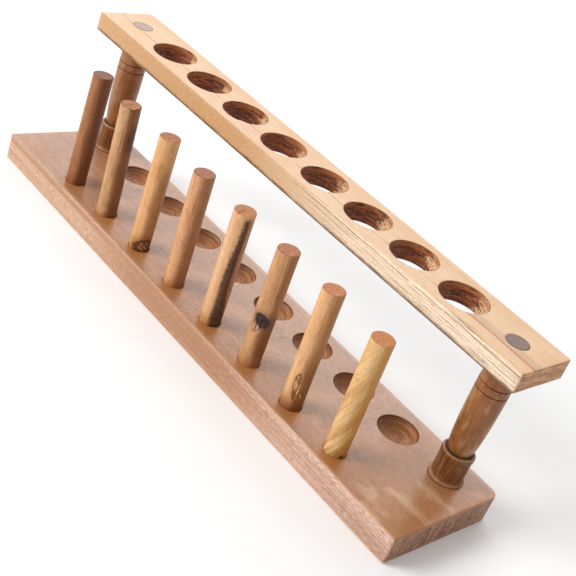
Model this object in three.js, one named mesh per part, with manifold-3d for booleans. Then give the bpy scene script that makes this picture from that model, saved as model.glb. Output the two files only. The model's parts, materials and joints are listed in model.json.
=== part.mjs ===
// Wooden test tube rack: a base board, a drilled top rail held up by two turned posts,
// and a row of drying pins in front. Millimetres, +Z up. The origin is on the table under
// the middle of the base board, +X runs along the rack and +Y from the pins to the rail.

import * as THREE from 'three';
import { mergeVertices } from 'three/addons/utils/BufferGeometryUtils.js';
import Module from 'manifold-3d';

const wasm = await Module();
wasm.setup();

// ---- Driving dimensions ----
const TUBE_COUNT = 8;
const PITCH = 30; // hole to hole, pin to pin, and last hole to post

const BASE_LENGTH = 307;
const BASE_DEPTH = 67;
const BASE_THICKNESS = 14;

const RAIL_LENGTH = 302;
const RAIL_DEPTH = 33;
const RAIL_THICKNESS = 9.5;
const RAIL_TOP = BASE_THICKNESS + 72;

const TUBE_HOLE_DIAMETER = 22.4; // takes a 20 mm test tube
const DIMPLE_DIAMETER = 20;
const DIMPLE_DEPTH = 5;

const PIN_DIAMETER = 10.3;
const PIN_HEIGHT = 59.5; // above the base board
const PIN_FRONT_MARGIN = 11; // pin axis to the board's front edge

const TENON_DIAMETER = 10.4;
const SOCKET_DEPTH = 9; // blind holes in the base board for the pins and posts
const CLEARANCE = 0.3; // between a piece and the wood around it

const BOARD_CORNER = 2; // rounding of a board's corners in plan
const BOARD_EASING = 0.6; // small bevel on a board's edges
const PIN_EASING = 0.5;

// How far each pin's top leans from upright, as [x, y], left to right.
const PIN_LEANS = [
  [-1, 0.5], [-2, -2], [-1.5, 0], [-0.5, -2.5],
  [0, -2.5], [0, -2], [-1.5, -1], [0.5, -3],
];

// ---- Worked out from them ----
const RAIL_BOTTOM = RAIL_TOP - RAIL_THICKNESS;
const ROW_Y = BASE_DEPTH / 2 - RAIL_DEPTH / 2; // the rail is flush with the board's back edge
const PIN_Y = -BASE_DEPTH / 2 + PIN_FRONT_MARGIN;
const POST_X = ((TUBE_COUNT + 1) / 2) * PITCH;
const tubeX = Array.from({ length: TUBE_COUNT }, (_, i) => (i - (TUBE_COUNT - 1) / 2) * PITCH);

const PIN_SEGMENTS = 24;
const POST_SEGMENTS = 32;
const HOLE_SEGMENTS = 32;
const OVERSHOOT = 5; // how far a cutter runs past the face it enters

// ---- Materials ----
const wood = (color, roughness) => new THREE.MeshStandardMaterial({ color, roughness, metalness: 0 });
const baseWood = wood('#b4835f', 0.5);
const railWood = wood('#e6bd8e', 0.55);
const postWood = wood('#95613a', 0.4);
const brownPin = wood('#9c6c46', 0.5);
const tanPin = wood('#bb8757', 0.5);
const goldenPin = wood('#c68f4e', 0.5);
const pinWoods = [brownPin, tanPin, goldenPin, brownPin, tanPin, tanPin, tanPin, goldenPin];

// ---- Geometry helpers ----
// One closed mesh with shared corners and no collapsed triangles.
function welded(geometry) {
  geometry.deleteAttribute('normal');
  geometry.deleteAttribute('uv');
  const merged = mergeVertices(geometry, 1e-4);
  const corners = merged.index.array;
  const kept = [];
  for (let i = 0; i < corners.length; i += 3) {
    const [a, b, c] = corners.subarray(i, i + 3);
    if (a !== b && b !== c && c !== a) kept.push(a, b, c);
  }
  merged.setIndex(kept);
  return merged;
}

function toSolid(geometry) {
  const merged = welded(geometry);
  return new wasm.Manifold(new wasm.Mesh({
    numProp: 3,
    vertProperties: new Float32Array(merged.attributes.position.array),
    triVerts: new Uint32Array(merged.index.array),
  }));
}

function toGeometry(solid) {
  const mesh = solid.getMesh();
  const geometry = new THREE.BufferGeometry();
  geometry.setAttribute('position', new THREE.BufferAttribute(mesh.vertProperties, 3));
  geometry.setIndex(new THREE.BufferAttribute(mesh.triVerts, 1));
  geometry.computeVertexNormals();
  return geometry;
}

// A round piece about +Z from [radius, height] points, given bottom to top.
function turned(profile, segments) {
  const points = profile.map(([radius, height]) => new THREE.Vector2(radius, height));
  return new THREE.LatheGeometry(points, segments).rotateX(Math.PI / 2);
}

function drill(diameter, from, to, segments) {
  const radius = diameter / 2;
  return turned([[0, from], [radius, from], [radius, to], [0, to]], segments);
}

// A flat board with eased edges, standing on z = bottom.
function board(length, depth, thickness, bottom) {
  const x = length / 2 - BOARD_EASING;
  const y = depth / 2 - BOARD_EASING;
  const r = BOARD_CORNER;
  const outline = new THREE.Shape();
  outline.moveTo(-x + r, -y);
  outline.absarc(x - r, -y + r, r, -Math.PI / 2, 0);
  outline.absarc(x - r, y - r, r, 0, Math.PI / 2);
  outline.absarc(-x + r, y - r, r, Math.PI / 2, Math.PI);
  outline.absarc(-x + r, -y + r, r, Math.PI, Math.PI * 1.5);
  const geometry = new THREE.ExtrudeGeometry(outline, {
    depth: thickness - 2 * BOARD_EASING,
    curveSegments: 4,
    bevelThickness: BOARD_EASING,
    bevelSize: BOARD_EASING,
    bevelSegments: 1,
  });
  return geometry.translate(0, 0, bottom + BOARD_EASING);
}

// The turn that carries +Z onto a pin's own leaning direction.
function leanTurn([leanX, leanY]) {
  const up = new THREE.Vector3(0, 0, 1);
  const along = new THREE.Vector3(leanX, leanY, PIN_HEIGHT).normalize();
  return new THREE.Quaternion().setFromUnitVectors(up, along);
}

function cutAll(geometry, cutters) {
  const cut = cutters.reduce((solid, cutter) => solid.subtract(toSolid(cutter)), toSolid(geometry));
  return toGeometry(cut);
}

// ---- Sub-parts ----
// The cutter for one shallow round-bottomed dimple under a tube hole.
function dimpleCutter() {
  const rim = DIMPLE_DIAMETER / 2;
  const ball = (rim * rim + DIMPLE_DEPTH * DIMPLE_DEPTH) / (2 * DIMPLE_DEPTH);
  const rimAngle = Math.asin(rim / ball);
  const steps = 5;
  const profile = [];
  for (let i = 0; i <= steps; i += 1) {
    const angle = (rimAngle * i) / steps;
    profile.push([ball * Math.sin(angle), ball - DIMPLE_DEPTH - ball * Math.cos(angle)]);
  }
  profile.push([rim, OVERSHOOT], [0, OVERSHOOT]);
  return turned(profile, HOLE_SEGMENTS);
}

function baseBoard() {
  const socketSize = (diameter) => diameter + 2 * CLEARANCE;
  const cutters = tubeX.map((x) => dimpleCutter().translate(x, ROW_Y, BASE_THICKNESS));
  tubeX.forEach((x, i) => {
    const socket = drill(socketSize(PIN_DIAMETER), -SOCKET_DEPTH - CLEARANCE, OVERSHOOT, PIN_SEGMENTS);
    cutters.push(socket.applyQuaternion(leanTurn(PIN_LEANS[i])).translate(x, PIN_Y, BASE_THICKNESS));
  });
  for (const x of [-POST_X, POST_X]) {
    const socket = drill(socketSize(TENON_DIAMETER), -SOCKET_DEPTH - CLEARANCE, OVERSHOOT, POST_SEGMENTS);
    cutters.push(socket.translate(x, ROW_Y, BASE_THICKNESS));
  }
  return cutAll(board(BASE_LENGTH, BASE_DEPTH, BASE_THICKNESS, 0), cutters);
}

function topRail() {
  const blank = board(RAIL_LENGTH, RAIL_DEPTH, RAIL_THICKNESS, RAIL_BOTTOM).translate(0, ROW_Y, 0);
  const from = RAIL_BOTTOM - OVERSHOOT;
  const to = RAIL_TOP + OVERSHOOT;
  const cutters = tubeX.map((x) => drill(TUBE_HOLE_DIAMETER, from, to, HOLE_SEGMENTS).translate(x, ROW_Y, 0));
  for (const x of [-POST_X, POST_X]) {
    cutters.push(drill(TENON_DIAMETER + 2 * CLEARANCE, from, to, POST_SEGMENTS).translate(x, ROW_Y, 0));
  }
  return cutAll(blank, cutters);
}

// A turned post with a tenon at each end. Heights are above the base board's top.
function post() {
  const tenon = TENON_DIAMETER / 2;
  const foot = CLEARANCE;
  const shoulder = RAIL_BOTTOM - BASE_THICKNESS - CLEARANCE;
  const top = RAIL_TOP - BASE_THICKNESS;
  const groove = (radius, height) => [[radius, height - 0.4], [radius - 0.5, height], [radius, height + 0.4]];
  return turned([
    [0, -SOCKET_DEPTH], [tenon, -SOCKET_DEPTH], [tenon, foot],
    [8, foot], [8.2, 0.9], [8, 1.5], [7, 2.1], // thin flange and V-groove at the foot
    [7.2, 2.8], [7.3, 11.2], [7.7, 13], [7.6, 14.4], [7, 15.2], // collar with a rounded rim
    [5.5, 15.7], [5.9, 17], [6.4, 20], [6.9, 25], // rounded lower end of the body
    [7.3, 34], [7.4, 42],
    ...groove(7.4, 48),
    ...groove(7.3, 51.8),
    [7, shoulder], [tenon, shoulder], [tenon, top], [0, top],
  ], POST_SEGMENTS);
}

function pin() {
  const radius = PIN_DIAMETER / 2;
  return turned([
    [0, -SOCKET_DEPTH], [radius, -SOCKET_DEPTH],
    [radius, PIN_HEIGHT - PIN_EASING], [radius - PIN_EASING, PIN_HEIGHT], [0, PIN_HEIGHT],
  ], PIN_SEGMENTS);
}

// ---- Assembly ----
const rack = new THREE.Group();

function addPiece(name, geometry, material, x = 0, y = 0, z = 0) {
  const mesh = new THREE.Mesh(geometry, material);
  mesh.name = name;
  mesh.position.set(x, y, z);
  rack.add(mesh);
  return mesh;
}

addPiece('base_board', baseBoard(), baseWood);
addPiece('top_rail', topRail(), railWood);
addPiece('left_post', post(), postWood, -POST_X, ROW_Y, BASE_THICKNESS);
addPiece('right_post', post(), postWood, POST_X, ROW_Y, BASE_THICKNESS);
tubeX.forEach((x, i) => {
  const mesh = addPiece(`drying_pin_${i + 1}`, pin(), pinWoods[i], x, PIN_Y, BASE_THICKNESS);
  mesh.quaternion.copy(leanTurn(PIN_LEANS[i]));
});

export default rack;
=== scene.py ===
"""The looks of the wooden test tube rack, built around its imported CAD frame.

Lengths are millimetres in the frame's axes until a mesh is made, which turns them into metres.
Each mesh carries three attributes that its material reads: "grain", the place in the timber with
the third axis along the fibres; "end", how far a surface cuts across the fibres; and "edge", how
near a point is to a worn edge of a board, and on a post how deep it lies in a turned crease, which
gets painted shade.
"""

import json
import math
from collections import namedtuple
from functools import reduce

import bmesh
import bpy
import numpy as np
from mathutils import Matrix, Vector, noise


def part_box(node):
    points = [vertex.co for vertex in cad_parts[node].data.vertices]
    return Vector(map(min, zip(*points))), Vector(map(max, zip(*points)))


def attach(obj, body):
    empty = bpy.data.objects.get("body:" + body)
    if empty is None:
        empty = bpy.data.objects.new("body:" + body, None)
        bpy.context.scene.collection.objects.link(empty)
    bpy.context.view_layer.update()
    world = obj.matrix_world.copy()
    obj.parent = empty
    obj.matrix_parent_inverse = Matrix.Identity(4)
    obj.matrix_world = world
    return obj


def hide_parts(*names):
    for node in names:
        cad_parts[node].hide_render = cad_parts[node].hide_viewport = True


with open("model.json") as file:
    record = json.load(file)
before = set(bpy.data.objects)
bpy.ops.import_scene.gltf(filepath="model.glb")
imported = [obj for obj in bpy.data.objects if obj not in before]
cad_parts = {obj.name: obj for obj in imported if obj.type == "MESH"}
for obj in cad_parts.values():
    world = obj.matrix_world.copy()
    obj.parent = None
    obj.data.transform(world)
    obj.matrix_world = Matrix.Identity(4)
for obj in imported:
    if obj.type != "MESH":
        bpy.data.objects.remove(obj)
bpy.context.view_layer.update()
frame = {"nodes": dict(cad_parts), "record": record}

MM = 0.001

# ---- Camera ----
CAMERA_PLACE = (307.4, -344.3, 293.5)
CAMERA_AIM = (3.0, 36.6, 14.0)
CAMERA_ROLL = math.radians(21.9)
CAMERA_LENS = 70.9  # on a 36 mm sensor

# ---- Sizes that the CAD solids have too ----
PIN_RADIUS = 5.15
TENON_RADIUS = 5.2
TUBE_HOLE_RADIUS = 11.2
DIMPLE_RADIUS = 10
DIMPLE_DEPTH = 5

# ---- Fine shape that the plain frame leaves out ----
SINK = 0.05  # how far a shoulder is pressed into the board it stands on
SOCKET_GAP = 0.12  # dark joint line round a pin
BASE_CORNERS = {"front_left": 0.9, "front_right": 0.8, "back_right": 0.8, "back_left": 1.5}
WORN_CORNER = 4.5  # wide rounding of the base board's back right corner
RAIL_CORNERS = {"front_left": 0.8, "front_right": 1.0, "back_right": 1.0, "back_left": 2.9}
BOARD_INSET = 3.0  # the flat middle of a board's face stops this far from its sides
DIMPLE_WALL = 1.1  # steep rim of a dimple, above its round floor
HOLE_EASING = 0.35  # rounding of the rims of tube holes and dimples
GRID_STEP = 2  # spacing of the points on a board's faces
COLLAR_MIDDLE = 9.2  # above the base board
GRAIN_DRIFT = 8  # how far the growth rings wander


# ======================= The frame's own measures =======================
def node_box(name):
    low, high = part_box(name)
    return np.array(low) / MM, np.array(high) / MM


def opening_centres(prefix):
    found = [o for o in frame["record"]["physics"]["openings"] if o["name"].startswith(prefix)]
    return [np.add(*o["box_m"])[:2] / 2 / MM for o in found]


def node_axis(name):
    """The two ends of a straight round node's own axis, lower end first."""
    points = np.array([v.co for v in frame["nodes"][name].data.vertices]) / MM
    middle = (points.min(0) + points.max(0)) / 2
    direction = np.linalg.svd(points - middle, full_matrices=False)[2][0]
    direction *= np.sign(direction[2])
    along = (points - middle) @ direction
    top = points[along > along.max() - 0.01].mean(0)
    bottom = points[along < along.min() + 0.01].mean(0)
    return bottom, top


tubes = opening_centres("tube_slot")
row_y = float(np.mean([t[1] for t in tubes]))
pitch = float(tubes[1][0] - tubes[0][0])
base_low, base_high = node_box("base_board")
rail_low, rail_high = node_box("top_rail")
post_boxes = {side: node_box(f"{side}_post") for side in ("left", "right")}
posts = {side: (low + high)[:2] / 2 for side, (low, high) in post_boxes.items()}
pin_names = sorted(n for n in frame["nodes"] if n.startswith("drying_pin"))
pin_axes = {name: node_axis(name) for name in pin_names}
pin_depth = float(base_high[2] - pin_axes[pin_names[0]][0][2])
pin_row_y = float(np.mean([bottom[1] for bottom, _ in pin_axes.values()]))


# ======================= Meshes =======================
class Shell:
    """Faces gathered into one mesh. Corners that share a place are welded."""

    def __init__(self):
        self.places = {}
        self.points = []
        self.faces = []
        self.kinds = []

    def corner(self, point):
        key = tuple(round(float(c), 3) for c in point)
        if key not in self.places:
            self.places[key] = len(self.points)
            self.points.append(tuple(float(c) for c in point))
        return self.places[key]

    def face(self, corners, kind=0):
        ids = [self.corner(p) for p in corners]
        kept = [a for i, a in enumerate(ids) if a != ids[i - 1]]
        if len(set(kept)) >= 3:
            self.faces.append(kept)
            self.kinds.append(kind)

    def strip(self, row, other, kind=0):
        """Quads between two closed rows of points of the same length."""
        for i in range(len(row)):
            j = (i + 1) % len(row)
            self.face((row[i], row[j], other[j], other[i]), kind)

    def sheet(self, xs, ys, z, kind=0):
        for x0, x1 in zip(xs, xs[1:]):
            for y0, y1 in zip(ys, ys[1:]):
                self.face(((x0, y0, z), (x1, y0, z), (x1, y1, z), (x0, y1, z)), kind)


def outline_of(xs, ys):
    """The grid points round a rectangle, anticlockwise from its front left corner."""
    front = [(x, ys[0]) for x in xs[:-1]]
    right = [(xs[-1], y) for y in ys[:-1]]
    back = [(x, ys[-1]) for x in xs[:0:-1]]
    left = [(xs[0], y) for y in ys[:0:-1]]
    return front + right + back + left


def circle_towards(outline, centre, radius, z):
    """Points on a circle, each on the line from its centre to a point of the outline."""
    offsets = np.array(outline) - centre
    offsets *= radius / np.linalg.norm(offsets, axis=1)[:, None]
    return [(centre[0] + x, centre[1] + y, z) for x, y in offsets]


def pierce(shell, centre, xs, ys, profile, kind=0, lean=(0, 0), through=False):
    """A rectangle of a board's face with a round hole in it.
    The profile is (radius, height) points, down from the hole's rim."""
    outline = outline_of(xs, ys)
    centre = np.array(centre, float)
    top = profile[0][1]
    rows = [circle_towards(outline, centre + np.array(lean) * (z - top), r, z) for r, z in profile]
    for row, other in zip(rows, rows[1:]):
        shell.strip(row, other, kind)
    for rim, z in [(rows[0], top)] + ([(rows[-1], profile[-1][1])] if through else []):
        edge = np.array([(x, y, z) for x, y in outline])
        rings = [np.array(rim) * (1 - s) + edge * s for s in (0, 0.1, 0.3, 0.6, 1)]
        for ring, other in zip(rings, rings[1:]):
            shell.strip(ring, other)


def skirt_loop(xs, ys, corners, inset):
    """The board's sides in plan: for each point, its inner place and its step out to the side."""
    fan_steps = 6
    sides = (
        ("front_right", (0, -1), [(x, ys[0]) for x in xs]),
        ("back_right", (1, 0), [(xs[-1], y) for y in ys]),
        ("back_left", (0, 1), [(x, ys[-1]) for x in xs[::-1]]),
        ("front_left", (-1, 0), [(xs[0], y) for y in ys[::-1]]),
    )
    loop = []
    for corner, (dx, dy), points in sides:
        loop += [(np.array(p, float), np.array((dx, dy), float) * inset) for p in points]
        radius = corners[corner]
        middle = (inset - radius) * np.array((dx - dy, dx + dy))
        for i in range(1, fan_steps):
            angle = math.atan2(dy, dx) + math.pi / 2 * i / fan_steps
            turn = np.array((math.cos(angle), math.sin(angle)))
            loop.append((np.array(points[-1], float), middle + radius * turn))
    return loop


def quarter(steps):
    """Sine and cosine at equal steps from 0 to 90 degrees."""
    return [(math.sin(math.pi / 2 * i / steps), math.cos(math.pi / 2 * i / steps)) for i in range(steps + 1)]


def add_skirt(shell, xs, ys, low, high, corners, inset, easing, rows=6):
    """The edge of a board from its top face round to its bottom face.
    easing(x, y) gives the rounding in mm of the upper and the lower edge."""
    arc = quarter(4)
    columns = []
    for inner, step in skirt_loop(xs, ys, corners, inset):
        upper, lower = easing(*(inner + step))
        stations = [(0, high)]
        stations += [(inset - upper * (1 - s), high - upper * (1 - c)) for s, c in arc]
        for i in range(1, rows):
            share = i / rows
            stations.append((inset, (high - upper) * (1 - share) + (low + lower) * share))
        stations += [(inset - lower * (1 - c), low + lower * (1 - s)) for s, c in arc]
        stations.append((0, low))
        columns.append([(*(inner + step * out / inset), z) for out, z in stations])
    for row in range(len(columns[0]) - 1):
        shell.strip([c[row] for c in columns], [c[row + 1] for c in columns])


def spaced(*stops, step):
    """Places from the first stop to the last, with every stop among them."""
    places = [stops[0]]
    for a, b in zip(stops, stops[1:]):
        count = max(1, round((b - a) / step))
        places += [a + (b - a) * (i + 1) / count for i in range(count)]
    return places


def between(places, low, high):
    return [p for p in places if low - 1e-6 <= p <= high + 1e-6]


def rounded_rim(radius, easing, z, steps=4):
    """The eased edge where a hole meets a face at height z, from the face down."""
    return [(radius + easing * (1 - s), z - easing * (1 - c)) for s, c in quarter(steps)]


def turned(profile, segments=96):
    """A round shell about the third axis, from (radius, height) points."""
    angles = [2 * math.pi * i / segments for i in range(segments)]
    rows = [[(r * math.cos(a), r * math.sin(a), z) for a in angles] for r, z in profile]
    shell = Shell()
    for row, other in zip(rows, rows[1:]):
        shell.strip(row, other)
    return shell


def denser(shape, step):
    """Adds points along the long straight stretches of an outline."""
    points = [shape[0]]
    for a, b in zip(shape, shape[1:]):
        count = max(1, math.ceil(math.dist(a, b) / step))
        for i in range(1, count + 1):
            points.append((a[0] + (b[0] - a[0]) * i / count, a[1] + (b[1] - a[1]) * i / count))
    return points


def smooth_noise(point, scale, seed=0.0):
    """Noise with scale cycles to the mm, along each axis or along all of them."""
    x, y, z = np.multiply(point, scale)
    return noise.noise(Vector((x + seed, y, z)))


def make_piece(name, shell, materials, nodes, grain_of, end_axis, edge_of, place=None, reshape=None):
    """Turns a shell in mm into a finished object that stands for its CAD nodes."""
    mesh = bpy.data.meshes.new(name)
    points = np.array(shell.points)
    mesh.from_pydata(points.tolist(), [], shell.faces)
    mesh.update()
    outward_faces(mesh)
    if reshape:
        normals = np.array([v.normal for v in mesh.vertices])
        points = points + np.array([reshape(p, n) for p, n in zip(points, normals)])
        mesh.vertices.foreach_set("co", points.ravel())
        mesh.update()
    normals = np.array([v.normal for v in mesh.vertices])
    add_attribute(mesh, "grain", "FLOAT_VECTOR", "vector", grain_of(points))
    add_attribute(mesh, "end", "FLOAT", "value", np.abs(normals @ np.array(end_axis, float)))
    # on the posts this holds the turned creases, which get painted shade
    add_attribute(mesh, "edge", "FLOAT", "value", edge_of(points))
    mesh.polygons.foreach_set("material_index", shell.kinds)
    mesh.polygons.foreach_set("use_smooth", [True] * len(mesh.polygons))
    for material in materials:
        mesh.materials.append(material)
    if place is not None:
        mesh.transform(place)
    mesh.transform(Matrix.Scale(MM, 4))
    piece = bpy.data.objects.new(name, mesh)
    bpy.context.scene.collection.objects.link(piece)
    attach(piece, "root")
    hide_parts(*nodes)
    return piece


def outward_faces(mesh):
    work = bmesh.new()
    work.from_mesh(mesh)
    bmesh.ops.recalc_face_normals(work, faces=work.faces)
    work.to_mesh(mesh)
    work.free()
    mesh.update()


def add_attribute(mesh, name, kind, field, values):
    attribute = mesh.attributes.new(name, kind, "POINT")
    attribute.data.foreach_set(field, np.ascontiguousarray(values, dtype=np.float32).ravel())


# ======================= Node materials =======================
def linear(hex_colour):
    """A linear RGBA colour from an sRGB one such as 'c08040'."""
    parts = [int(hex_colour[i:i + 2], 16) / 255 for i in (0, 2, 4)]
    return [c / 12.92 if c <= 0.04045 else ((c + 0.055) / 1.055) ** 2.4 for c in parts] + [1.0]


def feed(socket, value):
    if isinstance(value, bpy.types.NodeSocket):
        socket.id_data.links.new(value, socket)
    else:
        socket.default_value = linear(value) if isinstance(value, str) else value


def add_node(kind, inputs, **settings):
    """A new node, fed in order, in the tree that its inputs come from."""
    tree = next(v.id_data for v in inputs if isinstance(v, bpy.types.NodeSocket))
    made = tree.nodes.new(kind)
    for key, value in settings.items():
        setattr(made, key, value)
    for socket, value in zip(made.inputs, inputs):
        feed(socket, value)
    return made


def calc(operation, *values):
    return add_node("ShaderNodeMath", values, operation=operation).outputs[0]


def times(*values):
    return reduce(lambda a, b: calc("MULTIPLY", a, b), values)


def plus(*values):
    return reduce(lambda a, b: calc("ADD", a, b), values)


def vector(operation, a, b=(0, 0, 0)):
    made = add_node("ShaderNodeVectorMath", (a, b), operation=operation)
    return made.outputs["Value" if operation in ("LENGTH", "DOT_PRODUCT") else "Vector"]


def joined(x, y, z=0):
    return add_node("ShaderNodeCombineXYZ", (x, y, z)).outputs[0]


def span(x, y):
    """The length of a flat step."""
    return vector("LENGTH", joined(x, y))


def ramp(value, low, high, out_low=0, out_high=1):
    """A smooth step from out_low at low to out_high at high."""
    inputs = (value, low, high, out_low, out_high)
    return add_node("ShaderNodeMapRange", inputs, interpolation_type="SMOOTHSTEP").outputs[0]


def band(value, centre, half, soft):
    """1 within half of the centre, falling to 0 over the soft distance past that."""
    gap = calc("ABSOLUTE", calc("SUBTRACT", value, centre))
    return ramp(calc("SUBTRACT", gap, half), soft, 0)


def mix(factor, a, b):
    made = add_node("ShaderNodeMix", (factor,), data_type="RGBA")
    feed(made.inputs[6], a)
    feed(made.inputs[7], b)
    return made.outputs[2]


def tint(colour, shade, *shares):
    """Lays a shade over a colour, as strongly as the product of its shares."""
    return mix(times(*shares), colour, shade)


class Paint:
    """A wood's node material, and the fields that its colours are made from."""

    def __init__(self, name):
        self.material = bpy.data.materials.new(name)
        self.material.use_nodes = True
        self.shader = self.material.node_tree.nodes["Principled BSDF"]
        self.grain = self.source("ShaderNodeAttribute", "Vector", attribute_name="grain")
        self.across, self.up, self.along = add_node("ShaderNodeSeparateXYZ", (self.grain,)).outputs

    def source(self, kind, output, **settings):
        """An output of a new node that has no inputs to feed."""
        made = self.material.node_tree.nodes.new(kind)
        for key, value in settings.items():
            setattr(made, key, value)
        return made.outputs[output]

    def attribute(self, name):
        return self.source("ShaderNodeAttribute", "Fac", attribute_name=name)

    def sawn_end(self):
        """1 where a board is cut across its fibres."""
        return ramp(self.attribute("end"), 0.5, 0.85)

    def noise(self, stretch, place=None, detail=4, rough=0.7, seed=0, output="Fac"):
        """Noise with stretch cycles to the mm along each axis."""
        place = vector("MULTIPLY", self.grain if place is None else place, stretch)
        place = vector("ADD", place, (seed * 7.3, seed * 3.1, seed * 11.7))
        made = add_node("ShaderNodeTexNoise", (place,))
        for key, value in (("Scale", 1), ("Detail", detail), ("Roughness", rough)):
            made.inputs[key].default_value = value
        return made.outputs[output]

    def wander(self, stretch, size, **settings):
        """Noise about 0, which strays half of size to either side."""
        return times(plus(self.noise(stretch, **settings), -0.5), size)

    def azimuth(self):
        """Degrees about a round piece's axis."""
        return times(calc("ARCTAN2", self.up, self.across), 180 / math.pi)

    def girth(self):
        """How far round a pin's surface a place is, in mm."""
        return times(self.azimuth(), math.pi / 180 * PIN_RADIUS)

    def mark_reach(self, mark, wobble, scale):
        """0 in the middle of a mark on a round piece, 1 on its ragged outline."""
        middle, side, rise, outward = mark_frame(mark)
        offset = vector("SUBTRACT", self.grain, middle)
        u = calc("DIVIDE", vector("DOT_PRODUCT", offset, side), mark.wide)
        v = calc("DIVIDE", vector("DOT_PRODUCT", offset, rise), mark.tall)
        behind = ramp(vector("DOT_PRODUCT", self.grain, outward), 0.5, 0, 0, 9)
        ragged = self.wander((scale,) * 3, wobble * 2, detail=3, rough=0.6)
        return plus(span(u, v), behind, ragged)

    def finish(self, colour, roughness, height, bump_mm, coat=0, coat_roughness=0.2, specular=0.5):
        inputs = self.shader.inputs
        feed(inputs["Base Color"], colour)
        feed(inputs["Roughness"], roughness)
        inputs["Coat Weight"].default_value = coat
        inputs["Coat Roughness"].default_value = coat_roughness
        inputs["Specular IOR Level"].default_value = specular
        bump = self.material.node_tree.nodes.new("ShaderNodeBump")
        feed(bump.inputs["Height"], height)
        bump.inputs["Distance"].default_value = bump_mm * MM
        feed(inputs["Normal"], bump.outputs["Normal"])
        return self.material


def timber(
    paint, light, dark, streak, end, end_dark, seed,
    ring_centre=(0, -40), ring_spacing=3, ring_share=0.5,
    streak_share=0.5, pore_share=0.3, mottle="b98a6a", mottle_share=0.3, mottle_size=14, grit_share=0.22,
):
    """The grain that every kind of wood here has. Gives back its colour, its height and its fibres."""
    drift = paint.noise((0.05, 0.05, 0.012), seed=seed, output="Color", detail=2, rough=0.5)
    drift = vector("MULTIPLY", vector("SUBTRACT", drift, (0.5,) * 3), (GRAIN_DRIFT, GRAIN_DRIFT, 0))
    bent = vector("ADD", paint.grain, drift)
    flat = vector("MULTIPLY", vector("SUBTRACT", bent, (*ring_centre, 0)), (1, 1, 0))
    phase = calc("FRACT", calc("DIVIDE", vector("LENGTH", flat), ring_spacing))
    late = times(ramp(phase, 0.2, 0.95), ramp(phase, 1, 0.95))
    fibre = paint.noise((1.6, 1.6, 0.05), place=bent, rough=0.65, seed=seed)
    hair = paint.noise((4.2, 4.2, 0.6), seed=seed)
    pore = ramp(paint.noise((3.4, 3.4, 0.3), detail=1, seed=seed + 3, rough=0.5), 0.6, 0.72)
    cloud = paint.noise((1 / mottle_size, 1 / mottle_size, 0.5 / mottle_size), rough=0.6, seed=seed)

    colour = mix(times(late, ring_share), light, dark)
    colour = tint(colour, mottle, ramp(cloud, 0.42, 0.62), mottle_share)
    colour = tint(colour, streak, ramp(fibre, 0.42, 0.68), streak_share)
    colour = tint(colour, streak, ramp(hair, 0.48, 0.7), streak_share * 0.7)
    colour = tint(colour, light, ramp(hair, 0.48, 0.3), streak_share * 0.5)
    colour = tint(colour, streak, pore, pore_share)
    grit = paint.noise((1.9, 1.9, 0.9), rough=0.75, seed=seed + 5)
    colour = tint(colour, streak, ramp(grit, 0.52, 0.7), grit_share)
    colour = tint(colour, light, ramp(grit, 0.48, 0.3), grit_share)
    speck = paint.noise((1.5, 1.5, 1.5), detail=3, seed=seed)
    end_share = plus(times(late, 0.55), times(ramp(speck, 0.38, 0.64), 0.5))
    end_colour = mix(end_share, end, end_dark)
    colour = tint(colour, end_colour, paint.sawn_end())
    height = plus(times(fibre, 0.6), times(hair, 0.5), times(pore, -0.8), times(grit, 0.4))
    return colour, height, fibre


def base_front(paint):
    """The base board's pale front face, with its long streaks."""
    lines = paint.noise((0.3, 1.7, 0.009), detail=6, rough=0.74, seed=2)
    speckle = paint.noise((1.6, 2.5, 0.34), detail=3, seed=5)
    plain = mix(ramp(paint.along, 20, 120), "cba383", "d2ab95")
    face = mix(times(ramp(lines, 0.42, 0.66), 0.9), plain, "93654a")
    face = tint(face, "8e5d42", ramp(speckle, 0.5, 0.64), 0.62)
    face = tint(face, "e6cbb7", ramp(speckle, 0.47, 0.34), 0.62)
    # open pores under the top edge, and a rubbed pale strip towards the right
    pores = paint.noise((0.9, 3.2, 0.03), rough=0.75, seed=3.5)
    high_part = ramp(paint.up, base_high[2] - 7, base_high[2] - 3)
    face = tint(face, "7d4d33", ramp(pores, 0.56, 0.66), high_part, 0.6)
    rubbed = band(paint.up, base_high[2] - 2.2, 0.9, 1)
    to_right = ramp(paint.along, 10, 60)
    face = tint(face, "efdccb", rubbed, to_right, ramp(speckle, 0.55, 0.42), 0.55)
    face = tint(face, "985f38", band(paint.along, 5, 25, 70), 0.6)
    under_edge = band(paint.up, base_high[2] - 2.6, 0.5, 0.9)
    face = tint(face, "9a6a4c", under_edge, ramp(lines, 0.5, 0.4), 0.7)
    # a browner strip under the top edge towards the left end
    brown_strip = band(paint.up, base_high[2] - 2.2, 1.2, 1.2)
    return tint(face, "9a6540", brown_strip, ramp(paint.along, -35, -85), 0.55)


def base_end(paint, colour, cut):
    """Columns of pale flecks on the sawn ends, and an orange line along their top."""
    columns = paint.noise((0.4, 0.05, 0), detail=2, seed=6, rough=0.5)
    flecks = paint.noise((0.9, 0.8, 0.8), rough=0.75, seed=7)
    fleck_share = times(ramp(plus(columns, flecks), 0.92, 1.2), cut, 0.75)
    colour = tint(colour, "b08b6b", fleck_share)
    colour = tint(colour, "5c3426", ramp(flecks, 0.48, 0.36), cut, 0.6)
    rim = times(band(paint.up, base_high[2] - 0.9, 0.5, 0.7), cut, 0.7)
    return tint(colour, "a8673a", rim)


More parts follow.
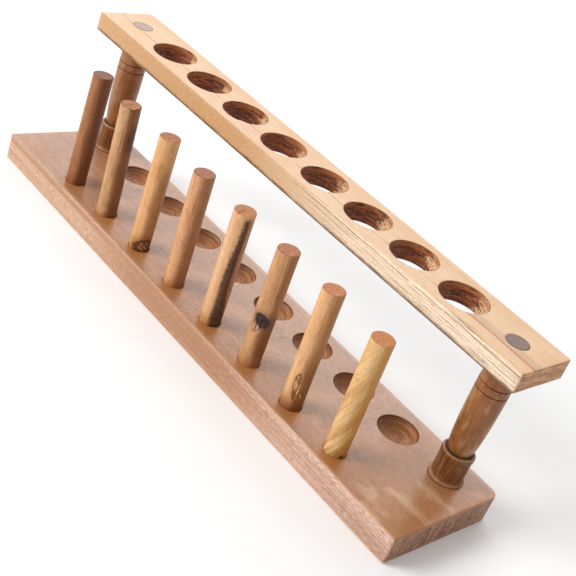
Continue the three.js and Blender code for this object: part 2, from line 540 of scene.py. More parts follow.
def base_top(paint, colour):
    """Short open pores on the top, a finish that is thicker in places, and a painted golden reflection and
    shade of the pins round their feet.
    """
    top_pores = paint.noise((1.5, 1.5, 0.16), rough=0.8, seed=12)
    on_top = ramp(paint.up, base_high[2] - 0.8, base_high[2] - 0.3)
    pale_part = times(ramp(paint.along, -170, 40), ramp(paint.across, -16, 2), on_top)
    colour = tint(colour, "d0a588", pale_part, 0.42)
    # long grey streaks along the middle of the top
    streaks = paint.noise((0.22, 0.22, 0.012), detail=5, rough=0.62, seed=14)
    middle = band(paint.along, -10, 60, 50)
    colour = tint(colour, "8e7365", ramp(streaks, 0.52, 0.62), middle, on_top, 0.4)
    runs = paint.noise((0.07, 0.07, 0.03), rough=0.6, seed=9)
    pooled = ramp(plus(paint.along, times(runs, 110)), 152, 180)
    pooled = times(pooled, ramp(paint.across, row_y + 18, row_y - 6), on_top)
    colour = tint(colour, "9f6226", pooled, 0.6)
    colour = tint(colour, "754026", ramp(top_pores, 0.57, 0.68), on_top, 0.55)
    colour = tint(colour, "d3aa8a", ramp(top_pores, 0.4, 0.3), on_top, 0.45)
    # painted golden reflection and shade of each pin on the top, round its foot
    aside = cell_place(paint)[0]
    spread = times(paint.noise((0.16, 0.16, 0.1), rough=0.65, seed=10), 12)
    foot_reach = span(plus(aside, -2.5), plus(paint.across, 2.5 - pin_row_y))
    painted_pin_reflection = times(ramp(plus(foot_reach, spread), 18, 10), on_top, 0.62)
    colour = tint(colour, "a86a30", painted_pin_reflection)
    dry = times(ramp(runs, 0.46, 0.36), ramp(paint.along, 60, 120), on_top)
    return tint(colour, "cda682", dry, 0.55)


def base_wood():
    paint = Paint("base_wood")
    colour, height, fibre = timber(
        paint, light="b3825c", dark="9a653f", streak="8a5532", end="94582f", end_dark="6f3c23",
        ring_centre=(4, -55), ring_spacing=4.6, ring_share=0.45, streak_share=0.58,
        mottle="9b755b", mottle_share=0.7, mottle_size=15, grit_share=0.55, seed=1,
    )
    front = ramp(paint.across, base_low[1] + 1.4, base_low[1] + 0.5)
    colour = tint(colour, base_front(paint), front)
    # worn arrises
    colour = tint(colour, "cda283", paint.attribute("edge"), 0.5)
    cut = paint.sawn_end()
    colour = base_top(paint, base_end(paint, colour, cut))
    roughness = plus(times(fibre, 0.16), times(cut, 0.3), times(front, 0.12), 0.2)
    return paint.finish(colour, roughness, height, 0.07, coat=0.15, coat_roughness=0.25)


def cell_place(paint):
    """How far along the board a place is from the nearest tube, in mm, and which tube that is."""
    cell = plus(calc("DIVIDE", plus(paint.along, -float(tubes[0][0])), pitch), 0.5)
    return times(plus(calc("FRACT", cell), -0.5), pitch), calc("FLOOR", cell)


def bowl_wood():
    """The base board's dimples, darker where the cutter left its rings, with painted shade on one wall and
    round the rim.
    """
    paint = Paint("bowl_wood")
    aside, tube = cell_place(paint)
    back = plus(paint.across, -row_y)
    reach = span(aside, back)
    turn = times(calc("ARCTAN2", back, aside), 0.5)
    rings = paint.noise((1.5, 0.8, 3.7), place=joined(reach, turn, tube), detail=5, rough=0.75)
    fleck = paint.noise((1.6, 1.6, 0.8))
    # The bowls' darker colours are partly the cut wood's own tone and partly painted shade, standing in for
    # the light that the bowls reflect less of.
    colour = mix(ramp(rings, 0.4, 0.62), "bb7f4c", "7f4822")
    colour = tint(colour, "5a311c", ramp(fleck, 0.5, 0.7), 0.65)
    colour = tint(colour, "d6ac88", ramp(fleck, 0.43, 0.31), 0.75)
    # painted shade on the -X wall of each dimple, the wall turned from the key light
    painted_wall_shade = ramp(plus(aside, times(back, -0.3), times(fleck, 6)), 4, -7)
    colour = tint(colour, "5f3219", painted_wall_shade, 0.6)
    # painted shade in each dimple's steep rim wall
    colour = tint(colour, "5a3018", ramp(reach, 9.5, 9.95))
    return paint.finish(colour, 0.42, plus(rings, fleck), 0.14, specular=0.35)


def rail_top(paint, colour):
    """The pith line wanders from the middle of the left end to the front of the right end."""
    way = ramp(paint.along, rail_low[0], rail_high[0], -4, -8)
    drift = paint.wander((0.02, 0.02, 0.03), 3, detail=3, seed=8, rough=0.5)
    line_y = plus(way, drift, row_y)
    broken = ramp(paint.noise((0.1, 0.1, 0.08), detail=3, seed=9, rough=0.5), 0.35, 0.5)
    line = times(band(paint.across, line_y, 0.1, 0.35), broken, 0.75)
    on_top = ramp(paint.up, rail_high[2] - 2.5, rail_high[2] - 1)
    to_right = ramp(paint.along, 85, 112)
    colour = tint(colour, "dfae78", ramp(paint.along, 40, 140), on_top, 0.2)
    grey = band(paint.across, plus(line_y, 3.4), 0.8, 2)
    colour = tint(colour, "b3957c", grey, to_right, on_top, 0.45)
    blush = band(paint.across, plus(line_y, 0.6), 0.5, 1.2)
    colour = tint(colour, "c98a6b", blush, to_right, on_top, 0.6)
    colour = tint(colour, "a87258", line, on_top)
    sharp = band(paint.across, line_y, 0.12, 0.4)
    return tint(colour, "a25e40", sharp, to_right, on_top, 0.7)


def rail_front(paint):
    """Plain tan on the left, and pale with dark speckles on the right."""
    right_half = ramp(paint.along, -40, 90)
    mild = paint.noise((0.25, 1.6, 0.014), detail=6, rough=0.72, seed=3)
    speckle = paint.noise((2, 2.4, 0.9), detail=3, seed=6)
    face = mix(right_half, "bc8f60", "f2dcc2")
    face = tint(face, "b78a5c", ramp(mild, 0.44, 0.68), 0.55)
    face = tint(face, "a67846", ramp(speckle, 0.5, 0.68), 0.45)
    return tint(face, "f0d8bb", ramp(speckle, 0.45, 0.32), 0.45)


def rail_cracks(paint):
    """Open grain towards the right, with one long crack under the worn top edge."""
    open_grain = paint.noise((0.6, 3.6, 0.03), rough=0.75, seed=4)
    near_front = ramp(paint.across, rail_low[1] + 3.5, rail_low[1] + 1.2)
    fine_cracks = times(ramp(open_grain, 0.58, 0.65), ramp(paint.along, -20, 110))
    crack_height = plus(paint.wander((0, 0, 0.05), 2.4, rough=0.6, seed=5.5), rail_high[2] - 1.5)
    gaps = ramp(paint.noise((0, 0, 0.16), detail=3, rough=0.5), 0.34, 0.5)
    long_crack = band(paint.up, crack_height, 0.08, 0.3)
    long_crack = times(long_crack, ramp(paint.along, -10, 40), gaps)
    return times(calc("MAXIMUM", fine_cracks, long_crack), near_front)


def rail_wood():
    paint = Paint("rail_wood")
    colour, height, fibre = timber(
        paint, light="e5c09b", dark="dcaf84", streak="cb9b6e", end="dca26c", end_dark="a06843",
        ring_centre=(3, -70), ring_spacing=5.5, ring_share=0.6, streak_share=0.34, pore_share=0.12,
        mottle="eacaa9", mottle_share=0.5, seed=2, grit_share=0.18,
    )
    front = ramp(paint.across, rail_low[1] + 1.2, rail_low[1] + 0.4)
    colour = tint(rail_top(paint, colour), rail_front(paint), front)
    cracks = rail_cracks(paint)
    colour = tint(colour, "94632f", cracks, 0.65)
    # chips and painted shade along the rail's lower front edge, which faces down
    chip = paint.noise((0.5, 0.5, 0.12), seed=5)
    chipped_and_shaded_low_edge = ramp(plus(paint.up, times(chip, -3)), rail_low[2] + 0.6, rail_low[2] - 1)
    colour = tint(colour, "5f3a20", chipped_and_shaded_low_edge, front, 0.85)
    cut = paint.sawn_end()
    layers = paint.noise((0.15, 1.1, 0), detail=3, seed=3, rough=0.5)
    colour = tint(colour, "8c5a42", cut, ramp(layers, 0.45, 0.62), 0.6)
    height = plus(height, times(cracks, -3))
    roughness = plus(times(fibre, 0.12), 0.42)
    return paint.finish(colour, roughness, height, 0.08, specular=0.35)


def burnt_wood():
    """The rail's tube holes: scorched in rings by the drill, and torn pale on the side towards +X."""
    paint = Paint("burnt_wood")
    rings = paint.noise((0.16, 1.9, 0.16), detail=5, rough=0.72)
    patches = paint.noise((0.25, 0.5, 0.25), detail=3, seed=2, rough=0.5)
    flecks = paint.noise((1.3, 1.8, 1.3), rough=0.75, seed=3)
    normal = paint.source("ShaderNodeNewGeometry", "True Normal")
    facing = vector("DOT_PRODUCT", normal, (-0.86, -0.5, 0))
    torn = ramp(plus(facing, times(patches, 1.2)), 1, 1.3)
    cracks = paint.noise((1.1, 2.6, 1.1), detail=3, seed=5)
    scorched = mix(ramp(rings, 0.44, 0.6), "3d170c", "a9592e")
    scorched = tint(scorched, "d8975c", ramp(flecks, 0.57, 0.67))
    pale = mix(ramp(flecks, 0.42, 0.6), "f8dcb4", "c98848")
    pale = tint(pale, "5a2c16", ramp(rings, 0.56, 0.64))
    pale = tint(pale, "4a2210", ramp(cracks, 0.56, 0.62), 0.85)
    colour = mix(torn, scorched, pale)
    below_rim = band(paint.up, rail_high[2] - 1.2, 0.7, 0.9)
    colour = tint(colour, "a8652f", below_rim, ramp(patches, 0.4, 0.5), 0.8)
    return paint.finish(colour, 0.5, plus(rings, times(flecks, 0.6)), 0.35)


def post_wood(side, end, end_dark):
    paint = Paint(f"{side}_post_wood")
    colour, height, fibre = timber(
        paint, light="a66a36", dark="7f4b25", streak="5c3014", end="a66a36", end_dark="7f4b25",
        ring_centre=(12, -20), ring_spacing=2.6, ring_share=0.6, streak_share=0.5, pore_share=0.35,
        mottle="905a2c", mottle_share=0.6, seed=3 if side == "left" else 3.5,
    )
    cloud = paint.noise((0.14, 0.14, 0.07), rough=0.6, seed=6)
    worn = 0.25 if side == "left" else 0.55
    colour = tint(colour, "b28c64", ramp(cloud, 0.5, 0.64), worn)
    colour = tint(colour, "74431a", ramp(cloud, 0.48, 0.36), 0.5)
    collar = band(paint.along, COLLAR_MIDDLE, 6.2, 1)
    colour = tint(colour, "66360f", collar, 0.5)
    stripes = paint.noise((0.9, 0.9, 0.06), seed=11)
    colour = tint(colour, "3f1f0a", ramp(stripes, 0.5, 0.62), collar, 0.6)
    colour = tint(colour, "a87440", ramp(stripes, 0.46, 0.36), collar, 0.4)
    # painted highlights on the turned rims, beside the painted shade in the creases
    for height_above, half in ((0.75, 0.25), (2.35, 0.1), (14.85, 0.12)):
        rim = band(paint.along, height_above, half, 0.2)
        colour = tint(colour, "b58a5e", rim, 0.6)
    # painted shade in the turned creases
    crease_shade = ramp(paint.attribute("edge"), 0.15, 0.8)
    colour = tint(colour, "2c160b", crease_shade, 0.9)
    disc_speck = paint.noise((1.2, 1.2, 1.2), seed=8)
    disc = mix(ramp(disc_speck, 0.38, 0.64), end, end_dark)
    reach = span(paint.across, paint.up)
    disc = tint(disc, "5b4436", ramp(reach, TENON_RADIUS - 0.45, TENON_RADIUS - 0.15), 0.8)
    disc_height = rail_high[2] - base_high[2]
    colour = tint(colour, disc, ramp(paint.along, disc_height - 1, disc_height - 0.6))
    roughness = plus(times(fibre, 0.14), times(crease_shade, 0.4), 0.28)
    return paint.finish(colour, roughness, height, 0.06, specular=0.4)


def laid_on_later(overlay):
    """Lets a pin's look name an overlay and its settings before there is a paint to lay it on."""
    return lambda *args, **settings: lambda *paint_so_far: overlay(*paint_so_far, *args, **settings)


@laid_on_later
def heartwood_and_shaded_side(paint, colour, height, azimuth, half, soft, shade, share, low=-50, high=90, fade=8):
    """A darker stripe down one side of a pin, partly heartwood and partly painted shade on the side turned
    from the lamp.
    """
    ragged = paint.wander((0.7, 0.7, 0.1), soft * 1.6, detail=3, rough=0.6)
    stripe = band(plus(paint.azimuth(), ragged), azimuth, half, soft)
    above = ramp(paint.along, low - fade, low + fade)
    below = ramp(paint.along, high + fade, high - fade)
    return tint(colour, shade, stripe, above, below, share), height


@laid_on_later
def widening_band(paint, colour, height, azimuth, top, shade, edge_shade):
    """A near-black band down a pin, widest at the foot, with brown wood beside it."""
    ragged = paint.wander((1, 1, 0.6), 46, detail=5, rough=0.8)
    sway = plus(ramp(paint.along, 24, top, 0, 12), ramp(paint.along, 24, 0, 0, 17))
    half = plus(ramp(paint.along, 20, top, 22, 12), ramp(paint.along, 20, 0, 0, 18))
    place = plus(paint.azimuth(), ragged, times(sway, -1))
    ends = ramp(plus(paint.along, times(ragged, 0.08)), top + 1, top - 2)
    beside = band(place, azimuth + 38, 26, 22)
    colour = tint(colour, edge_shade, beside, ends, 0.6)
    colour = tint(colour, edge_shade, band(place, azimuth, half, 12), ends, 0.7)
    grit = paint.noise((1.6, 1.6, 0.7), rough=0.75, seed=3)
    grit = ramp(grit, 0.36, 0.6, 0.97, 0.6)
    inner = times(band(place, azimuth, plus(half, -5), 8), ends, grit)
    return tint(colour, shade, inner), height


@laid_on_later
def spiral(paint, colour, height, slope, light, dark):
    """Wide wavy bands that climb round the pin."""
    girth = paint.girth()
    climb = plus(paint.along, times(girth, -slope))
    place = joined(climb, girth)
    waves = paint.noise((0.3, 0.05, 1), place=place, detail=5, rough=0.62, seed=4)
    fine = paint.noise((1.5, 0.12, 1), place=place, seed=5)
    strength = ramp(paint.along, 26, 50, 1, 0.4)
    colour = tint(colour, dark, ramp(waves, 0.47, 0.62), 0.66, strength)
    colour = tint(colour, light, ramp(waves, 0.48, 0.36), 0.6, strength)
    colour = tint(colour, dark, ramp(fine, 0.53, 0.68), 0.45, strength)
    return colour, plus(height, times(waves, 0.6), times(fine, strength))


@laid_on_later
def knot(paint, colour, height, mark, core, rim, halo):
    reach = paint.mark_reach(mark, wobble=0.42, scale=0.7)
    grit = paint.noise((1, 1, 2.4), rough=0.75)
    colour = tint(colour, halo, ramp(reach, 2.4, 1), 0.6)
    colour = tint(colour, rim, ramp(reach, 1.3, 1.05))
    middle = mix(ramp(grit, 0.5, 0.75), core, halo)
    colour = tint(colour, middle, ramp(reach, 0.98, 0.82))
    return colour, plus(height, ramp(reach, 0.9, 1.1, -3, 0), times(grit, 0.5))


@laid_on_later
def torn_fibres(paint, colour, height, mark, dark, light, slope=0):
    """Fine pale and dark splinters inside a mark."""
    reach = paint.mark_reach(mark, wobble=0.35, scale=0.9)
    place = joined(plus(paint.girth(), times(paint.along, slope)), 0, paint.along)
    splinters = paint.noise((1.6, 1, 0.22), place=place, detail=3, rough=0.6, seed=6)
    inside = ramp(reach, 1.1, 0.8)
    torn = mix(ramp(splinters, 0.44, 0.58), dark, light)
    outline = times(band(reach, 1, 0.04, 0.12), 0.9)
    colour = tint(colour, torn, inside)
    return tint(colour, dark, outline), plus(height, times(inside, splinters, 3))


@laid_on_later
def stain(paint, colour, height, mark, shade, share):
    reach = paint.mark_reach(mark, wobble=0.4, scale=0.35)
    return tint(colour, shade, ramp(reach, 1.3, 0.5), share), height


def pin_wood(number, woods, overlays=(), **grain):
    """woods has five colours: light, dark and streaks down the side, then light and dark on top."""
    light, dark, streak, top, top_dark = woods.split()
    paint = Paint(f"pin_{number}_wood")
    settings = dict(ring_share=0.45, streak_share=0.32, pore_share=0.2, mottle_share=0.35)
    settings.update(grain)
    colour, height, fibre = timber(
        paint, light=light, dark=dark, streak=streak, end=top, end_dark=top_dark, seed=3 + number,
        ring_centre=(9, -16), ring_spacing=2.8, mottle=dark, mottle_size=9, **settings,
    )
    blotch = paint.noise((0.5, 0.5, 0.22), detail=5, seed=number + 20)
    colour = tint(colour, streak, ramp(blotch, 0.52, 0.7), 0.45)
    # painted shade near the foot, where the pin meets the board
    colour = tint(colour, "98592a", ramp(paint.along, 7, 0), 0.4)
    for overlay in overlays:
        colour, height = overlay(paint, colour, height)
    top_face = ramp(paint.attribute("end"), 0.6, 0.9)
    top_colour = mix(ramp(paint.noise((1.1, 1.1, 1.1)), 0.4, 0.62), top, top_dark)
    reach = span(paint.across, paint.up)
    top_colour = tint(top_colour, streak, ramp(reach, PIN_RADIUS - 0.75, PIN_RADIUS - 0.4))
    colour = tint(colour, top_colour, top_face)
    roughness = plus(times(fibre, 0.12), 0.38)
    return paint.finish(colour, roughness, height, 0.07, specular=0.3)


def floor_paint():
    paint = Paint("floor_paint")
    place = paint.source("ShaderNodeTexCoord", "Object")
    cloud = paint.noise((3, 3, 3), place=place, detail=3, rough=0.5)
    return paint.finish(mix(cloud, "f7f7f7", "fafafa"), 0.9, cloud, 0)


# ======================= Marks on the pins =======================
# Azimuths are degrees about the pin, from +X towards +Y; heights are above the base board.
Mark = namedtuple("Mark", "azimuth height wide tall depth tilt", defaults=(0, 0))


def mark_frame(mark):
    """A mark's middle on its pin, its two directions along the surface, and the way out."""
    around, tilt = math.radians(mark.azimuth), math.radians(mark.tilt)
    outward = np.array((math.cos(around), math.sin(around), 0))
    side = np.array((-math.sin(around), math.cos(around), 0))
    rise = np.array((0, 0, 1.0))
    middle = outward * PIN_RADIUS + rise * mark.height
    turned_side = side * math.cos(tilt) - rise * math.sin(tilt)
    turned_rise = side * math.sin(tilt) + rise * math.cos(tilt)
    return tuple(middle), tuple(turned_side), tuple(turned_rise), tuple(outward)


def mark_depth(point, mark):
    """How far a mark sinks a place on its pin, in mm."""
    middle, side, rise, outward = (np.array(v) for v in mark_frame(mark))
    if point @ outward < 0:
        return 0.0
    offset = point - middle
    reach = math.hypot(offset @ side / mark.wide, offset @ rise / mark.tall)
    return mark.depth * min(1.0, max(0.0, (1.25 - reach) / 0.4))


# ======================= Pieces =======================
def cell_edges(low, high):
    """Where one hole's stretch of a board ends and the next begins, along the board."""
    stops = [tubes[0][0] - pitch / 2 + i * pitch for i in range(len(tubes) + 1)]
    return [low] + stops + [high]


def along_fibres(points):
    """Board timber runs along +X."""
    return points[:, [1, 2, 0]]


def near_edge(low, high):
    """1 on a box's edges, falling to 0 a few mm away."""
    def edge_of(points):
        gaps = np.sort(np.concatenate([np.abs(points - low), np.abs(high - points)], axis=1), axis=1)
        return np.exp(-gaps[:, 1] / 0.7)
    return edge_of


def pin_foot(name):
    """Where a pin's axis meets the base board's top, and its lean in mm sideways for each mm up."""
    bottom, top = pin_axes[name]
    slope = (top - bottom)[:2] / (top - bottom)[2]
    return bottom[:2] + slope * (base_high[2] - bottom[2]), slope


def build_base(materials):
    shell = Shell()
    low = base_low + BOARD_INSET
    high = base_high - BOARD_INSET
    top = base_high[2]
    edges = cell_edges(low[0], high[0])
    pin_y = float(np.mean([pin_foot(n)[0][1] for n in pin_names]))
    pin_row_back = 2 * pin_y - low[1]
    tube_row_front = 2 * row_y - high[1]
    xs = spaced(*edges, step=GRID_STEP)
    ys = spaced(low[1], pin_row_back, tube_row_front, high[1], step=GRID_STEP)
    shell.sheet(xs, between(ys, pin_row_back, tube_row_front), top)
    front_ys = between(ys, low[1], pin_row_back)
    back_ys = between(ys, tube_row_front, high[1])
    for i, name in enumerate(pin_names):
        cell = between(xs, edges[i + 1], edges[i + 2])
        foot, slope = pin_foot(name)
        pierce(shell, foot, cell, front_ys, socket_profile(PIN_RADIUS, top), lean=slope)
        pierce(shell, tubes[i], cell, back_ys, dimple_profile(top), kind=1)
    for side, cell in (("left", edges[:2]), ("right", edges[-2:])):
        cell_xs = between(xs, *cell)
        shell.sheet(cell_xs, front_ys, top)
        pierce(shell, posts[side], cell_xs, back_ys, socket_profile(TENON_RADIUS, top))
    shell.sheet(xs, ys, base_low[2])

    def easing(x, y):
        wear = 0.25 * smooth_noise((x, y, 0), 0.11, 4.0)
        at_corner = math.exp(-((x - base_high[0]) ** 2 + (y - base_low[1]) ** 2) / 30)
        return 0.55 + wear, 0.6 + wear + 0.9 * at_corner

    add_skirt(shell, xs, ys, base_low[2], top, BASE_CORNERS, BOARD_INSET, easing)

    def corner_step(point):
        """Brings a place near the back right corner inside its wide rounding."""
        offset = point[:2] - (base_high[:2] - WORN_CORNER)
        if min(offset) <= 0:
            return np.zeros(3)
        return np.array((*(offset * (max(offset) / math.hypot(*offset) - 1)), 0))

    def reshape(point, normal):
        """A hand-sanded face is never quite flat."""
        dip = 0.035 * (1 + smooth_noise(point, 0.07)) + 0.015 * (1 + smooth_noise(point, 0.3))
        return corner_step(point) - dip * normal

    return make_piece(
        "base_board_timber", shell, materials, ["base_board"],
        along_fibres, (1, 0, 0), near_edge(base_low, base_high), reshape=reshape,
    )


def socket_profile(radius, top):
    """A blind hole with a dark joint line round the piece of this radius that fills it."""
    radius += SOCKET_GAP
    return rounded_rim(radius, 0.15, top, 2) + [(radius, top - pin_depth), (0, top - pin_depth)]


def dimple_profile(top):
    """A steep rim with a bowl under it."""
    rim = rounded_rim(DIMPLE_RADIUS - HOLE_EASING, HOLE_EASING, top)
    wall = [(DIMPLE_RADIUS - 0.45, top - DIMPLE_WALL * 0.7)]
    reach = DIMPLE_RADIUS - 0.6
    floor = DIMPLE_DEPTH - DIMPLE_WALL
    ball = (reach**2 + floor**2) / (2 * floor)
    bowl = []
    steps = 14
    for i in range(steps + 1):
        r = reach * (1 - i / steps)
        ripple = 0.05 * math.sin(r * 4.5)
        bowl.append((r, top - DIMPLE_WALL - (math.sqrt(ball**2 - r**2) - (ball - floor)) + ripple))
    return rim + wall + bowl


def build_rail(materials):
    shell = Shell()
    low = rail_low + BOARD_INSET
    high = rail_high - BOARD_INSET
    edges = cell_edges(low[0], high[0])
    xs = spaced(*edges, step=GRID_STEP)
    ys = spaced(low[1], high[1], step=1.9)
    top, bottom = rail_high[2], rail_low[2]
    wall_rows = 26
    wall_top, wall_bottom = top - HOLE_EASING, bottom + HOLE_EASING
    upper = rounded_rim(TUBE_HOLE_RADIUS, HOLE_EASING, top)
    lower = [(r, bottom + top - z) for r, z in reversed(upper)]
    heights = [wall_top + (wall_bottom - wall_top) * i / wall_rows for i in range(1, wall_rows)]
    profile = upper + [(TUBE_HOLE_RADIUS, z) for z in heights] + lower
    for i, centre in enumerate(tubes):
        cell = between(xs, edges[i + 1], edges[i + 2])
        pierce(shell, centre, cell, ys, profile, kind=1, through=True)
    plug = rounded_rim(TENON_RADIUS + 0.06, 0.1, top, 2)
    plug += [(r, bottom + top - z) for r, z in reversed(plug)]
    for side, cell in (("left", edges[:2]), ("right", edges[-2:])):
        pierce(shell, posts[side], between(xs, *cell), ys, plug, through=True)

    def easing(x, y):
        """The front top edge is planed away towards the right end."""
        front = y < rail_low[1] + 1
        share = min(1.0, max(0.0, (x - rail_low[0]) / (rail_high[0] - rail_low[0])))
        wane = 1.3 * max(0.0, share - 0.5) * 2 if front else 0
        wear = 0.2 * smooth_noise((x, y, 0), 0.15, 9.0)
        return 0.5 + wane + wear, 0.45 + wear

    add_skirt(shell, xs, ys, bottom, top, RAIL_CORNERS, BOARD_INSET, easing, rows=8)

    def reshape(point, normal):
        """Flat faces are sanded by hand, and the drill left the holes' walls rough."""
        dip = 0.03 * (1 + smooth_noise(point, 0.07))
        reach = TUBE_HOLE_RADIUS + 0.2
        upright = abs(normal[2]) < 0.5
        if upright and abs(point[1] - row_y) < reach and min(abs(point[0] - t[0]) for t in tubes) < reach:
            dip = 0.12 * smooth_noise(point, (0.5, 0.5, 2.8)) + 0.06 * smooth_noise(point, 2)
        return -dip * normal

    return make_piece(
        "top_rail_timber", shell, materials, ["top_rail"],
        along_fibres, (1, 0, 0), near_edge(rail_low, rail_high), reshape=reshape,
    )


def groove(radius, height, half=0.28, depth=0.35):
    return [(radius, height - half), (radius - depth, height - half * 0.3),
            (radius - depth, height + half * 0.3), (radius, height + half)]


# The outline of a post between the boards, as (radius, height above the base board).
POST_OUTLINE = [
    (7.9, -SINK), (8.15, 0.5), (8.15, 0.9), (7.9, 1.3), (7, 1.75), (6.95, 2), (7.15, 2.4), (7.2, 5),
    (7.25, 9), (7.35, 11.8), (7.6, 13), (7.65, 13.9), (7.5, 14.6), (7.1, 15.05), (6.5, 15.2), (5.55, 15.3),
    (5.4, 15.6), (5.6, 16.2), (5.95, 17.4), (6.3, 19.4), (6.6, 22), (6.85, 25.5), (7.1, 30), (7.25, 36),
    (7.35, 42), *groove(7.35, 48), (7.35, 49.5), *groove(7.3, 51.8), (7.25, 53), (7.05, 58),
]


def build_post(side, materials):
    low, high = post_boxes[side]
    foot = base_high[2] - low[2]
    shoulder = rail_low[2] - low[2]
    full = high[2] - low[2]
    tenon = TENON_RADIUS
    shape = [(0, 0), (tenon, 0), (tenon, foot - SINK)] + [(r, foot + z) for r, z in POST_OUTLINE]
    shape += [(6.95, shoulder - 0.3), (6.8, shoulder + SINK), (tenon, shoulder + SINK), (tenon, full - 0.15)]
    shape += [(tenon - 0.12, full), (tenon * 0.6, full), (tenon * 0.3, full), (0, full)]
    shell = turned(denser(shape, 0.6))
    centre = posts[side]
    spin = 0.0 if side == "left" else 1.9
    creases = ((0.0, 0.25), (1.9, 0.2), (15.35, 0.22), (48.0, 0.26), (51.8, 0.26), (62.4, 0.3))

    def crease_shade(points):
        """1 in the turned creases, which get painted shade."""
        above = points[:, 2] - foot
        return np.max([np.exp(-((above - at) / reach) ** 2) for at, reach in creases], axis=0)

    def reshape(point, normal):
        if point[2] > full - 0.5 or math.hypot(point[0], point[1]) < tenon + 0.05:
            return 0 * normal
        return -0.04 * (1 + smooth_noise(point, (0.4, 0.4, 0.08), spin)) * normal

    place = Matrix.Translation((centre[0], centre[1], low[2])) @ Matrix.Rotation(spin, 4, "Z")
    return make_piece(
        f"{side}_post_turning", shell, materials, [f"{side}_post"],
        lambda p: p - np.array((0, 0, foot)), (0, 0, 1), crease_shade, place=place, reshape=reshape,
    )


def build_pin(name, material, marks):
    bottom, top = pin_axes[name]
    foot = np.array((0, 0, pin_depth))
    length = float(np.linalg.norm(top - bottom))
    easing = 0.35
    shape = [(0, 0), (PIN_RADIUS, 0)]
    shape += [(PIN_RADIUS - easing * (1 - c), length - easing * (1 - s)) for s, c in quarter(3)]
    shape += [(PIN_RADIUS * share, length) for share in (0.8, 0.5, 0.25, 0)]
    shell = turned(denser(shape, 0.5))
    number = int(name.rsplit("_", 1)[1])

    def reshape(point, normal):
        dip = 0.03 * (1 + smooth_noise(point, (0.35, 0.35, 0.08), number * 3.1))
        sunk = max([mark_depth(point - foot, m) for m in marks], default=0.0)
        rough_floor = 1 + 0.5 * smooth_noise(point, (1.1, 1.1, 0.6), number)
        return -(dip + sunk * rough_floor) * normal

    direction = Vector(top - bottom).normalized()
    turn = Vector((0, 0, 1)).rotation_difference(direction).to_matrix().to_4x4()
    place = Matrix.Translation(bottom) @ turn
    return make_piece(
        f"{name}_dowel", shell, [material], [name],
        lambda p: p - foot, (0, 0, 1), lambda p: np.zeros(len(p)), place=place, reshape=reshape,
    )


# ======================= Light, floor and camera =======================
def add_area(name, place, size, power):
    """A rectangular lamp that shines on the rack."""
    light = bpy.data.lights.new(name, "AREA")
    light.shape = "RECTANGLE"
    light.size, light.size_y = size
    light.energy = power
    lamp = bpy.data.objects.new(name, light)
    lamp.location = place
    lamp.rotation_euler = (Vector((0, 0, 0.03)) - Vector(place)).to_track_quat("-Z", "Y").to_euler()
    bpy.context.scene.collection.objects.link(lamp)


def set_light():
    world = bpy.data.worlds.new("studio")
    world.use_nodes = True
    backdrop = world.node_tree.nodes["Background"]
    backdrop.inputs["Color"].default_value = (1, 1, 1, 1)
    backdrop.inputs["Strength"].default_value = 0.6
    bpy.context.scene.world = world
    add_area("key", (-0.7, -1.1, 0.85), (0.75, 0.75), 20)
    add_area("back", (-0.75, 0.95, 0.75), (1.5, 0.9), 8)
    bpy.context.scene.view_settings.view_transform = "Standard"


def set_floor():
    mesh = bpy.data.meshes.new("floor")
    half = 6  # in metres, as everything here
    corners = [(-half, -half, 0), (half, -half, 0), (half, half, 0), (-half, half, 0)]
    mesh.from_pydata(corners, [], [(0, 1, 2, 3)])
    mesh.materials.append(floor_paint())
    floor = bpy.data.objects.new("floor", mesh)
    bpy.context.scene.collection.objects.link(floor)


def set_camera():
    data = bpy.data.cameras.new("camera")
    data.lens = CAMERA_LENS
    data.sensor_width = 36
    data.clip_start = 0.01
    camera = bpy.data.objects.new("camera", data)
    forward = (Vector(CAMERA_AIM) - Vector(CAMERA_PLACE)).normalized()
    level = forward.cross(Vector((0, 0, 1))).normalized()
    rise = level.cross(forward)
    right = level * math.cos(CAMERA_ROLL) + rise * math.sin(CAMERA_ROLL)
    up = rise * math.cos(CAMERA_ROLL) - level * math.sin(CAMERA_ROLL)
    turn = Matrix((right, up, -forward)).transposed().to_4x4()
    camera.matrix_world = Matrix.Translation(Vector(CAMERA_PLACE) * MM) @ turn
    bpy.context.scene.collection.objects.link(camera)
    bpy.context.scene.camera = camera


build_base([base_wood(), bowl_wood()])
build_rail([rail_wood(), burnt_wood()])
build_post("left", [post_wood("left", end="b5978e", end_dark="8e7468")])
build_post("right", [post_wood("right", end="7c5644", end_dark="573d30")])

TOP_CHIP = Mark(-75, 58.9, 1.1, 0.9, depth=0.35)
TOP_CHIP_RIGHT = Mark(-20, 58.8, 1.6, 1.1, depth=0.3)
FOOT_KNOT = Mark(-12, 1.8, 4.2, 4.2, depth=0.25)
SIDE_KNOT = Mark(-56, 25, 2.5, 3.3, tilt=-50, depth=0.7)
KNOT_SPLINTERS = Mark(-76, 23.4, 2, 4.6, tilt=4, depth=0.3)
KNOT_STAIN = Mark(-12, 15, 4, 14)
EYE = Mark(-55, 12.5, 1.65, 6.4, tilt=-4, depth=0.3)
EYE_SWIRL = Mark(-28, 7.5, 1.3, 2.6, tilt=30, depth=0.15)
SIDE_NOTCH = Mark(36, 27.5, 1.6, 1.6, depth=0.9)
FOOT_CHIP = Mark(-10, 0.4, 1.2, 1, depth=0.4)
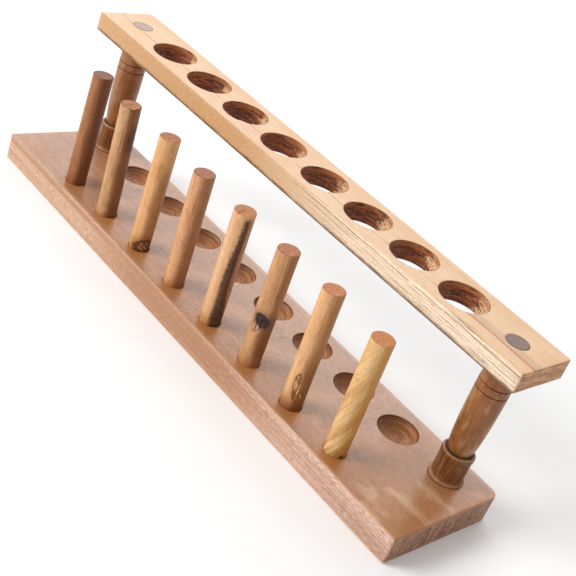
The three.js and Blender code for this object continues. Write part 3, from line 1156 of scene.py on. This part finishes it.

# The darker side stripes are partly heartwood and partly painted shade on the side turned from the lamp; pin
# 7's last one is painted shade all round its foot.
PINS = {
    1: dict(
        woods="a46a3d 865030 5c331a 8f6352 663c31",
        overlays=[heartwood_and_shaded_side(25, 45, 50, "592d10", 0.7)],
    ),
    2: dict(
        woods="cb9d6e a87648 6f4426 b87a4a 91532f",
        overlays=[
            heartwood_and_shaded_side(6, 30, 40, "6d3912", 0.8),
            stain(Mark(18, 43, 3.4, 8), "3f2218", 0.7),
            stain(Mark(-110, 3, 5, 4), "c89a63", 0.6),
        ],
        marks=[TOP_CHIP, TOP_CHIP_RIGHT],
    ),
    3: dict(
        woods="dcaa78 c58b50 9f6836 ba7851 8a4c32",
        overlays=[
            heartwood_and_shaded_side(8, 26, 46, "87521f", 0.6, high=44),
            knot(FOOT_KNOT, "5a2f16", "6f3f1f", "8f5628"),
            torn_fibres(Mark(-16, 2.6, 2.8, 3.2), "5c3218", "b98554", slope=0.8),
        ],
        marks=[FOOT_KNOT],
    ),
    4: dict(
        woods="d5a074 ba7e4f 8c552e ac7153 8a5039",
        overlays=[heartwood_and_shaded_side(20, 40, 50, "774318", 0.6)],
    ),
    5: dict(
        woods="dcae84 c9966a ae7a4c c0824d 9c6138",
        overlays=[
            widening_band(-29, 58, "33211a", "84532f"),
            stain(Mark(-115, 1, 5, 4), "b57f3f", 0.7),
        ],
        marks=[TOP_CHIP],
    ),
    6: dict(
        woods="cb9a6c a97244 8b552b be7e55 945334",
        overlays=[
            stain(KNOT_STAIN, "74401f", 0.75),
            heartwood_and_shaded_side(15, 25, 45, "7f4918", 0.55),
            torn_fibres(KNOT_SPLINTERS, "7a4526", "edc39a"),
            stain(Mark(-38, 24, 2.6, 3.6), "8a4a2a", 0.8),
            knot(SIDE_KNOT, "2b1e1a", "3c2216", "6e5149"),
        ],
        marks=[SIDE_KNOT],
    ),
    7: dict(
        woods="dfae7e c48c56 9c6534 ca8655 aa643a",
        overlays=[
            heartwood_and_shaded_side(10, 28, 48, "85501f", 0.5),
            heartwood_and_shaded_side(0, 30, 36, "79431c", 0.6, high=26, fade=12),
            heartwood_and_shaded_side(-20, 180, 10, "7c3f1a", 0.8, high=5, fade=6),
            torn_fibres(EYE, "7d4820", "dca571"),
            torn_fibres(EYE_SWIRL, "6c3c1c", "c3915f", slope=0.5),
        ],
        marks=[EYE, EYE_SWIRL],
    ),
    8: dict(
        woods="dcb37c c99a5e a87840 ca8143 ae6633",
        overlays=[
            spiral(1.9, "e8cb98", "b07c40"),
            heartwood_and_shaded_side(18, 30, 46, "b97a26", 0.65),
            stain(SIDE_NOTCH, "6d4a22", 0.9),
            stain(FOOT_CHIP, "3d2413", 0.9),
        ],
        marks=[SIDE_NOTCH, FOOT_CHIP], streak_share=0.2,
    ),
}
for pin_name in pin_names:
    pin_number = int(pin_name.rsplit("_", 1)[1])
    look = PINS[pin_number]
    pin_marks = look.pop("marks", [])
    build_pin(pin_name, pin_wood(pin_number, **look), pin_marks)

set_floor()
set_light()
set_camera()
